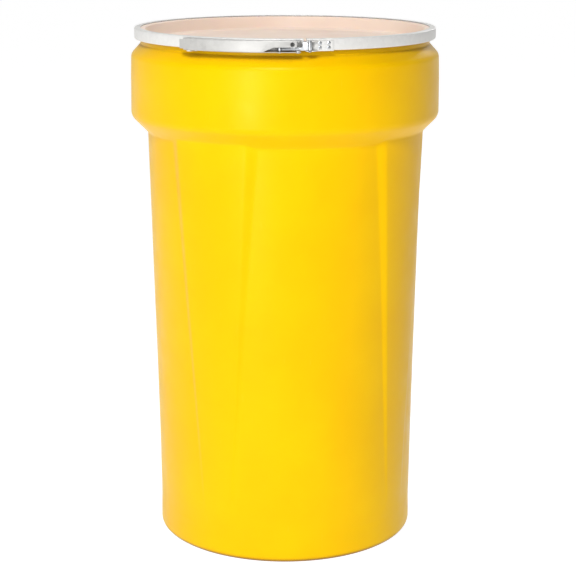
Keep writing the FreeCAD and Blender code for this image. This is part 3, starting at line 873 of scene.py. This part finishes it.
def lathe(name: str, path: Sequence[Point], segments: int) -> bpy.types.Object:
    """Turn a path of (radius, height) round the drum's axis, ring by ring.

    A path that starts and ends on the axis is closed there with fans. Any other path is
    taken as a loop, and its last ring is bridged to its first.

    Args:
        name: the piece's name.
        path: the outline in millimetres.
        segments: how many sides the rings have.

    Returns:
        The piece, closed and with its faces outwards.
    """
    rings = [point for point in path if point[0] > 0.0]
    radius, height = rings[0]
    bpy.ops.object.select_all(action="DESELECT")
    bpy.ops.mesh.primitive_circle_add(
        vertices=segments,
        radius=radius * MM,
        fill_type="NOTHING",
        location=(0.0, 0.0, height * MM),
    )
    piece = bpy.context.object
    piece.name = piece.data.name = name
    bpy.ops.object.transform_apply(location=True, rotation=True, scale=True)
    bpy.ops.object.mode_set(mode="EDIT")
    bpy.ops.mesh.select_all(action="SELECT")
    for next_radius, next_height in rings[1:]:
        rise = (0.0, 0.0, (next_height - height) * MM)
        bpy.ops.mesh.extrude_region_move(TRANSFORM_OT_translate={"value": rise})
        if next_radius != radius:
            scale = next_radius / radius
            bpy.ops.transform.resize(value=(scale, scale, 1.0), center_override=(0, 0, 0))
        radius, height = next_radius, next_height
    bpy.ops.mesh.select_mode(type="EDGE")
    if path[0][0] > 0.0:
        bpy.ops.mesh.select_all(action="DESELECT")
        bpy.ops.mesh.select_non_manifold()
        bpy.ops.mesh.bridge_edge_loops()
    else:
        for pole_height in (path[0][1], path[-1][1]):
            close_pole(piece, pole_height * MM)
    bpy.ops.mesh.select_all(action="SELECT")
    bpy.ops.mesh.normals_make_consistent(inside=False)
    bpy.ops.object.mode_set(mode="OBJECT")
    return piece


def close_pole(piece: bpy.types.Object, height: float) -> None:
    """Close the open ring at a height with a fan to the axis.

    Args:
        piece: the piece in edit mode.
        height: the ring's height in metres.
    """
    near = 0.05 * MM
    mesh = bmesh.from_edit_mesh(piece.data)
    bpy.ops.mesh.select_mode(type="EDGE")
    bpy.ops.mesh.select_all(action="DESELECT")
    for edge in mesh.edges:
        if edge.is_boundary and abs(edge.verts[0].co.z - height) < near:
            edge.select_set(True)
    bmesh.update_edit_mesh(piece.data)
    bpy.ops.mesh.extrude_region_move(TRANSFORM_OT_translate={"value": (0, 0, 0)})
    bpy.ops.mesh.merge(type="CENTER")


def bend_round(
    name: str, outline: Sequence[Point], start: float, sweep: float, steps: int
) -> bpy.types.Object:
    """Spin a closed outline round the drum's axis through part of a turn.

    Args:
        name: the piece's name.
        outline: closed (radius, height) outline in millimetres.
        start: azimuth of the first end in degrees, from the front towards +X.
        sweep: how far it goes, in degrees.
        steps: how many stations.

    Returns:
        The piece with both ends closed.
    """
    bpy.ops.object.select_all(action="DESELECT")
    bpy.ops.mesh.primitive_circle_add(vertices=len(outline), radius=MM, fill_type="NOTHING")
    piece = bpy.context.object
    piece.name = piece.data.name = name
    heading = FRONT + math.radians(start)
    outward = Vector((math.cos(heading), math.sin(heading), 0.0))
    for vertex, (radius, height) in zip(piece.data.vertices, outline):
        vertex.co = outward * radius * MM + Vector((0.0, 0.0, height * MM))
    bpy.ops.object.mode_set(mode="EDIT")
    bpy.ops.mesh.select_all(action="SELECT")
    bpy.ops.mesh.spin(
        steps=steps, angle=math.radians(sweep), center=(0, 0, 0), axis=(0, 0, 1)
    )
    bpy.ops.mesh.select_all(action="DESELECT")
    bpy.ops.mesh.select_mode(type="EDGE")
    bpy.ops.mesh.select_non_manifold()
    bpy.ops.mesh.edge_face_add()
    bpy.ops.mesh.select_all(action="SELECT")
    bpy.ops.mesh.normals_make_consistent(inside=False)
    bpy.ops.object.mode_set(mode="OBJECT")
    return piece


def shade_turned(piece: bpy.types.Object) -> None:
    """Shade a lathed or rolled piece smooth, all but its sharp corners."""
    select_only(piece)
    bpy.ops.object.shade_smooth_by_angle(angle=SMOOTH_UNDER)


def finish_piece(piece: bpy.types.Object, slot: Slot, body: str, *nodes: str) -> None:
    """Give a piece its finish and body, and let it stand for its CAD nodes.

    Args:
        piece: the finished mesh.
        slot: the finish it gets, unless one of its nodes has a finish of its own.
        body: the CAD body it moves with.
        nodes: the CAD nodes it stands for.
    """
    piece.data.materials.clear()
    own = next((FINISHES[node] for node in nodes if node in FINISHES), FINISHES[slot])
    piece.data.materials.append(own)
    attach(piece, body)
    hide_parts(*nodes)
    log.info("%s: %d faces on %s", piece.name, len(piece.data.polygons), body)


def ease(low: float, high: float, value: float) -> float:
    """Return 0 below low, 1 above high, and an S curve between."""
    share = min(1.0, max(0.0, (value - low) / (high - low)))
    return share * share * (3.0 - 2.0 * share)


# ------------------------------------------------------------------ the drum


@dataclass(frozen=True)
class RaisedRibs:
    """Four shallow ribs on the drum's side, which widen and rise towards the collar."""

    count: int = 4
    azimuth: float = -31.0
    crest_cells: int = 16
    flank_cells: int = 9
    recess_cells: int = 22
    top_height: float = 812.0
    width_height: float = 162.0
    half_angle: float = 8.2
    half_angle_per_mm: float = 0.01548
    flank_foot_height: float = 70.0
    flank_angle: float = 1.9
    flank_spread: float = 3.9
    flank_power: float = 1.5
    rise: float = 6.6
    rise_foot_height: float = 80.0
    rise_run: float = 720.0
    rise_power: float = 0.8
    fade_heights: Point = (803.0, 825.0)
    root_heights: Point = (775.0, 799.0)

    def cells_per_half(self) -> int:
        """Return how many grid cells lie between a rib's middle and the next recess's."""
        return self.crest_cells + self.flank_cells + self.recess_cells

    def segments(self) -> int:
        """Return how many grid cells go once round the drum."""
        return 2 * self.count * self.cells_per_half()

    def half_width(self, height: float) -> float:
        """Return a rib's half width in degrees at a height."""
        climb = min(height, self.top_height) - self.width_height
        return self.half_angle + climb * self.half_angle_per_mm

    def flank_width(self, height: float) -> float:
        """Return how wide a rib's sloping flank is at a height.

        Args:
            height: the height in millimetres.

        Returns:
            The width in degrees.
        """
        climb = min(height, self.top_height) - self.flank_foot_height
        share = max(0.0, climb / (self.top_height - self.flank_foot_height))
        return self.flank_angle + self.flank_spread * share ** self.flank_power

    def placed(self, line: float, height: float) -> Point:
        """Place a grid line beside a rib and say how proud it stands.

        Args:
            line: the line's number from the crest's middle, positive or negative.
            height: its height in millimetres.

        Returns:
            The angle from the crest's middle in degrees, and the share of the rib's rise.
        """
        side, line = math.copysign(1.0, line), abs(line)
        quarter = 0.5 * FULL_TURN / self.count
        half, flank = self.half_width(height), self.flank_width(height)
        marks = (0.0, half - flank / 2.0, half + flank / 2.0, quarter)
        crest_end = self.crest_cells
        flank_end = crest_end + self.flank_cells
        ends = (0, crest_end, flank_end, self.cells_per_half())
        zone = 0 if line <= crest_end else 1 if line <= flank_end else 2
        share = (line - ends[zone]) / (ends[zone + 1] - ends[zone])
        angle = marks[zone] + (marks[zone + 1] - marks[zone]) * share
        proud = (1.0, 1.0 - ease(0.0, 1.0, share), 0.0)[zone]
        return side * angle, proud

    def lift(self, height: float, proud: float) -> float:
        """Return how far a spot stands off the side, in millimetres.

        Args:
            height: its height in millimetres.
            proud: its share of the rib's rise across the rib.

        Returns:
            The lift in millimetres, faded out over the cone under the collar.
        """
        climb = min(1.0, max(0.0, (height - self.rise_foot_height) / self.rise_run))
        low, high = self.fade_heights
        fade = 1.0 - min(1.0, max(0.0, (height - low) / (high - low)))
        return self.rise * climb ** self.rise_power * proud * fade


@dataclass(frozen=True)
class DrumShell:
    """The one-piece blow-moulded body: foot, ribbed side, lifting collar, neck and rim."""

    foot: Outline = (
        (0.0, 10.0, 0.0), (200.0, 10.0, 6.0), (212.0, 0.0, 5.0), (252.8, 0.0, 13.0),
    )
    side: tuple[Point, ...] = (
        (252.6, 22.0), (252.0, 57.0), (253.4, 194.0), (255.7, 330.0), (260.2, 527.0),
    )
    side_round: float = 60.0
    collar: Outline = (
        (266.0, 801.5, 9.0), (297.4, 833.4, 20.0), (296.9, 905.0, 300.0), (295.8, 949.3, 16.0),
    )
    neck_and_rim: Outline = (
        (277.5, 969.6, 4.0), (277.5, 980.9, 1.0), (285.8, 981.4, 2.0), (285.8, 989.6, 2.0),
    )
    mouth: Outline = (
        (272.5, 989.6, 1.5), (272.5, 967.4, 8.0), (290.8, 947.1, 11.0), (292.4, 835.5, 15.0),
        (261.0, 803.6, 14.0),
    )
    cavity_floor: Outline = (
        (247.8, 5.0, 8.0), (209.0, 5.0, 6.0), (198.0, 15.0, 6.0), (0.0, 15.0, 0.0),
    )
    wall: float = 5.0
    outer_step: float = 17.0
    inner_step: float = 22.0
    ribs: RaisedRibs = RaisedRibs()
    side_radius: float = 225.0
    warp_foot: Point = (30.0, 90.0)
    warp_head: Point = (840.0, 880.0)
    wide_wander: float = 0.30
    wide_waves: float = 3.0
    wide_phase: float = 1.3
    wide_run: float = 170.0
    close_wander: float = 0.18
    close_waves: float = 7.0
    close_run: float = 95.0

    def outline(self) -> list[Point]:
        """Draw the outer and then the inner outline, from pole to pole.

        Returns:
            The (radius, height) points in millimetres.
        """
        outside = tuple((radius, height, self.side_round) for radius, height in self.side)
        inside = tuple((radius - self.wall, height, high) for radius, height, high in outside)
        outer = rounded(self.foot + outside + self.collar + self.neck_and_rim, False)
        inner = rounded(self.mouth + inside[::-1] + self.cavity_floor, False)
        return subdivided(outer, self.outer_step) + subdivided(inner, self.inner_step)

    def wander(self, heading: float, height: float) -> float:
        """Return the mould's slight unevenness in millimetres.

        Args:
            heading: direction round the axis in radians.
            height: height in millimetres.

        Returns:
            The unevenness in millimetres.
        """
        wide = self.wide_wander * math.sin(self.wide_waves * heading + self.wide_phase)
        wide *= math.sin(height / self.wide_run)
        close = math.sin(self.close_waves * heading + height / self.close_run)
        return wide + self.close_wander * close

    def raise_ribs(self, shell: bpy.types.Object) -> None:
        """Draw the grid lines along the ribs' flanks and raise the ribs.

        Args:
            shell: the lathed body.
        """
        ribs = self.ribs
        per_rib = 2 * ribs.cells_per_half()
        cell = FULL_TURN / ribs.segments()
        for vertex in shell.data.vertices:
            place = vertex.co / MM
            radius = math.hypot(place.x, place.y)
            if radius < self.side_radius or place.z < self.warp_foot[0]:
                continue
            azimuth = math.degrees(math.atan2(place.y, place.x) - FRONT) - ribs.azimuth
            rib = round(azimuth / cell / per_rib)
            line = azimuth / cell - rib * per_rib
            angle, proud = ribs.placed(line, place.z)
            blend = ease(*self.warp_foot, place.z) * (1.0 - ease(*self.warp_head, place.z))
            plain = line * cell
            angle = plain + (angle - plain) * blend
            lift = ribs.lift(place.z, proud)
            place.z += lift * ease(*ribs.root_heights, place.z)
            heading = FRONT + math.radians(angle + ribs.azimuth + rib * FULL_TURN / ribs.count)
            radius += lift + self.wander(heading, place.z) * blend
            flat = Vector((math.cos(heading) * radius, math.sin(heading) * radius, place.z))
            vertex.co = flat * MM

    def build(self) -> bpy.types.Object:
        """Build and dress the drum's body.

        Returns:
            The body.
        """
        shell = lathe("drum_shell", self.outline(), self.ribs.segments())
        self.raise_ribs(shell)
        shade_turned(shell)
        finish_piece(shell, Slot.YELLOW_HDPE, "drum", "drum_body")
        return shell


# ------------------------------------------------------------------ the lid and its seal


@dataclass(frozen=True)
class SunkLid:
    """The plug lid with a sunk floor, and the rubber seal under its rim."""

    segments: int = 288
    longest: float = 30.0
    arc_step: float = 20.0
    top: Outline = (
        (0.0, 975.5, 0.0), (150.0, 975.5, 3.0), (152.0, 974.0, 3.0), (238.5, 974.0, 3.0),
        (241.0, 976.5, 2.0), (249.0, 976.5, 2.0), (251.5, 974.0, 2.0), (262.9, 974.0, 4.0),
        (267.2, 996.8, 2.5), (269.2, 998.4, 2.0), (286.0, 998.4, 1.5),
    )
    underside: Outline = (
        (286.0, 992.6, 0.8), (270.8, 992.6, 0.8), (267.4, 971.5, 2.0), (265.4, 969.5, 2.0),
        (152.0, 969.5, 2.0), (150.0, 971.0, 2.0), (0.0, 971.0, 0.0),
    )
    seal: Outline = (
        (272.8, 989.65, 0.9), (285.0, 989.65, 0.9), (285.0, 992.55, 0.9), (272.8, 992.55, 0.9),
    )
    seal_arc_step: float = 30.0

    def build(self) -> bpy.types.Object:
        """Build and dress the lid.

        Returns:
            The lid.
        """
        path = subdivided(rounded(self.top + self.underside, False, self.arc_step), self.longest)
        lid = lathe("sunk_lid", path, self.segments)
        shade_turned(lid)
        finish_piece(lid, Slot.NATURAL_HDPE, "lid", "lid")
        return lid

    def build_seal(self) -> bpy.types.Object:
        """Build and dress the seal ring under the lid's rim.

        Returns:
            The seal.
        """
        path = rounded(self.seal, True, self.seal_arc_step)
        seal = lathe("lid_seal", path, self.segments)
        shade_turned(seal)
        finish_piece(seal, Slot.EPDM, "lid", "lid_gasket")
        return seal


# ------------------------------------------------------------------ the closing ring


@dataclass(frozen=True)
class ClosureRing:
    """The split galvanised channel that clamps the lid."""

    section: Outline = (
        (280.0, 979.1, 0.6), (289.0, 979.1, 2.4), (289.0, 1000.0, 2.4), (277.0, 1000.0, 0.6),
        (277.0, 998.6, 0.6), (287.6, 998.6, 1.2), (287.6, 980.5, 1.2), (280.0, 980.5, 0.6),
    )
    arc_step: float = 22.0
    gap_azimuth: float = 5.4
    gap_angle: float = 1.1
    steps: int = 240

    def build(self) -> bpy.types.Object:
        """Build and dress the ring.

        Returns:
            The ring.
        """
        ring = bend_round(
            "closing_ring",
            rounded(self.section, True, self.arc_step),
            self.gap_azimuth + self.gap_angle,
            FULL_TURN - self.gap_angle,
            self.steps,
        )
        shade_turned(ring)
        finish_piece(ring, Slot.GALVANISED, "ring", "closure_band")
        return ring


# ------------------------------------------------------------------ the latch


@dataclass(frozen=True)
class LatchHardware:
    """The pressed and turned pieces of the latch, with their edges broken as by a barrel."""

    pressed: tuple[str, ...] = ("hinge_bracket", "keeper_bracket", "seal_lug", "lever")
    turned_stems: tuple[str, ...] = ("rivet", "pin", "toggle_link")
    merge_under: float = 0.004
    flat_under: float = 2.0
    edge: float = 0.3
    edge_segments: int = 2
    edge_over: float = 35.0
    smooth_under: float = 40.0

    def break_edges(self, piece: bpy.types.Object) -> None:
        """Round a piece's sharp edges with an applied bevel and shade it smooth.

        Args:
            piece: the merged piece.
        """
        select_only(piece)
        bevel = piece.modifiers.new("broken_edge", "BEVEL")
        bevel.width = self.edge * MM
        bevel.segments = self.edge_segments
        bevel.limit_method = "ANGLE"
        bevel.angle_limit = math.radians(self.edge_over)
        bpy.ops.object.modifier_apply(modifier=bevel.name)
        bpy.ops.object.shade_smooth_by_angle(angle=math.radians(self.smooth_under))

    def worked(self, node: str, slot: Slot) -> bpy.types.Object:
        """Copy a CAD node, merge it, break its edges and dress it.

        Args:
            node: the CAD node's name.
            slot: the finish it gets.

        Returns:
            The piece that stands for the node.
        """
        piece = bpy.data.objects.new(f"{node}_worked", frame["nodes"][node].data.copy())
        piece.data.name = piece.name
        bpy.context.scene.collection.objects.link(piece)
        select_only(piece)
        bpy.ops.object.mode_set(mode="EDIT")
        bpy.ops.mesh.select_all(action="SELECT")
        bpy.ops.mesh.remove_doubles(threshold=self.merge_under * MM)
        bpy.ops.mesh.dissolve_limited(angle_limit=math.radians(self.flat_under))
        bpy.ops.object.mode_set(mode="OBJECT")
        self.break_edges(piece)
        bodies = frame["record"]["behaviour"]["bodies"]
        body = next(name for name, nodes in bodies.items() if node in nodes)
        finish_piece(piece, slot, body, node)
        return piece

    def build(self) -> list[bpy.types.Object]:
        """Build every piece of the latch.

        Returns:
            The pressed pieces and then the turned ones.
        """
        made = [self.worked(node, Slot.GALVANISED) for node in self.pressed]
        for node in sorted(frame["nodes"]):
            if any(stem in node for stem in self.turned_stems):
                made.append(self.worked(node, Slot.ZINC))
        return made


# ------------------------------------------------------------------ studio


@dataclass(frozen=True)
class LightPanel:
    """One soft rectangular light that faces the drum."""

    name: str
    place: Place
    width: float
    height: float
    watts: float

    def hang(self, aim: Vector) -> None:
        """Hang the panel so that it faces a point.

        Args:
            aim: the point in metres.
        """
        data = bpy.data.lights.new(self.name, "AREA")
        data.shape = "RECTANGLE"
        data.size, data.size_y = self.width, self.height
        data.energy = self.watts
        lamp = bpy.data.objects.new(self.name, data)
        bpy.context.scene.collection.objects.link(lamp)
        lamp.location = self.place
        lamp.visible_camera = False
        lamp.rotation_euler = (aim - lamp.location).to_track_quat("-Z", "Y").to_euler()


@dataclass(frozen=True)
class Studio:
    """A pale floor, soft light mostly from the front left, and the camera, in metres."""

    panels: tuple[LightPanel, ...] = (
        LightPanel("key_panel", (-0.6, -3.5, 3.3), 0.8, 0.8, 124.0),
        LightPanel("strip_panel", (-1.35, -3.0, 0.75), 0.5, 1.1, 40.0),
        LightPanel("rim_panel", (1.6, 2.7, 2.3), 0.7, 0.7, 18.0),
        LightPanel("top_panel", (-0.2, 0.2, 3.0), 1.4, 1.4, 20.0),
    )
    aim: Place = (0.0, 0.0, 0.5)
    floor_size: float = 60.0
    floor_dark: str = "#949494"
    floor_light: str = "#989898"
    floor_cloud_mm: float = 900.0
    floor_cloud_detail: float = 2.0
    floor_cloud_edges: Point = (0.3, 0.7)
    floor_roughness: float = 0.9
    floor_glow: Point = (0.60, 0.95)
    glow_reach: Point = (-3.2, -0.35)
    white: str = "#FFFFFF"
    sky_sides: tuple[float, float, float, float] = (0.0, 0.9, 0.14, 0.64)
    sky_rise: tuple[float, float, float, float] = (0.30, 0.75, 1.0, 0.40)
    camera_place: Place = (0.0, -3.1553, 1.2497)
    camera_pitch: float = 13.683
    lens: float = 101.64
    sensor: float = 36.0
    shift_x: float = 0.0052
    sight: float = 100.0

    def lay_floor(self) -> None:
        """Lay the pale paper floor, which glows a little more the further back it runs."""
        bpy.ops.object.select_all(action="DESELECT")
        bpy.ops.mesh.primitive_plane_add(size=self.floor_size)
        ground = bpy.context.object
        ground.name = "studio_floor"
        material, tree, shader, place = start_material("pale_studio_floor")
        cloud = add_node(
            tree,
            Kind.NOISE,
            values={
                "Scale": per_metre(self.floor_cloud_mm),
                "Detail": self.floor_cloud_detail,
            },
            links={"Vector": place},
        ).outputs["Fac"]
        shade = add_node(
            tree,
            Kind.RANGE,
            values=between(*self.floor_cloud_edges, 0.0, 1.0),
            links={"Value": cloud},
        ).outputs["Result"]
        paper = add_node(
            tree,
            Kind.MIX,
            MIX_COLOURS,
            {MIX_UNDER: linear(self.floor_dark), MIX_OVER: linear(self.floor_light)},
            {MIX_FACTOR: shade},
        ).outputs[MIX_RESULT]
        tree.links.new(paper, shader.inputs["Base Color"])
        behind = add_node(tree, Kind.SPLIT_VECTOR, links={"Vector": place}).outputs["Y"]
        glow = add_node(
            tree,
            Kind.RANGE,
            values=between(*self.glow_reach, *self.floor_glow),
            links={"Value": behind},
        ).outputs["Result"]
        tree.links.new(glow, shader.inputs["Emission Strength"])
        shader.inputs["Emission Color"].default_value = linear(self.white)
        shader.inputs["Roughness"].default_value = self.floor_roughness
        shader.inputs["Specular IOR Level"].default_value = 0.0
        ground.data.materials.append(material)

    def fill_room(self) -> None:
        """Fill the room with soft pale light that is brightest low down behind the drum."""
        world = bpy.data.worlds.new("soft_room")
        bpy.context.scene.world = world
        world.use_nodes = True
        tree = world.node_tree
        tree.nodes.clear()
        direction = add_node(tree, Kind.COORDINATES).outputs["Generated"]
        split = add_node(tree, Kind.SPLIT_VECTOR, links={"Vector": direction})
        side = add_node(
            tree,
            Kind.RANGE,
            values=between(*self.sky_sides),
            links={"Value": split.outputs["Y"]},
        ).outputs["Result"]
        rise = add_node(
            tree,
            Kind.RANGE,
            values=between(*self.sky_rise),
            links={"Value": split.outputs["Z"]},
        ).outputs["Result"]
        both = add_node(tree, Kind.MATHS, MULTIPLY, links={0: side, 1: rise}).outputs["Value"]
        light = add_node(
            tree,
            Kind.BACKGROUND,
            values={"Color": linear(self.white)},
            links={"Strength": both},
        ).outputs["Background"]
        add_node(tree, Kind.WORLD_OUTPUT, links={"Surface": light})

    def set_camera(self) -> None:
        """Stand the camera in front of the drum, a little above it."""
        data = bpy.data.cameras.new("view_camera")
        data.lens = self.lens
        data.sensor_width = self.sensor
        data.shift_x = self.shift_x
        data.clip_end = self.sight
        eye = bpy.data.objects.new("view_camera", data)
        bpy.context.scene.collection.objects.link(eye)
        eye.location = self.camera_place
        eye.rotation_euler = Euler((math.radians(90.0 - self.camera_pitch), 0.0, 0.0))
        bpy.context.scene.camera = eye

    def build(self) -> None:
        """Set up the whole studio."""
        view = bpy.context.scene.view_settings
        view.view_transform = "Standard"
        view.look = "None"
        self.lay_floor()
        self.fill_room()
        for panel in self.panels:
            panel.hang(Vector(self.aim))
        self.set_camera()


def main() -> None:
    """Build the drum piece by piece around the CAD frame."""
    logging.basicConfig(level=logging.INFO, format="%(message)s")
    make_finishes()
    lid = SunkLid()
    pieces = [DrumShell().build(), lid.build(), lid.build_seal(), ClosureRing().build()]
    pieces += LatchHardware().build()
    Studio().build()
    log.info("%d pieces in place", len(pieces))


if __name__ == "__main__":
    main()
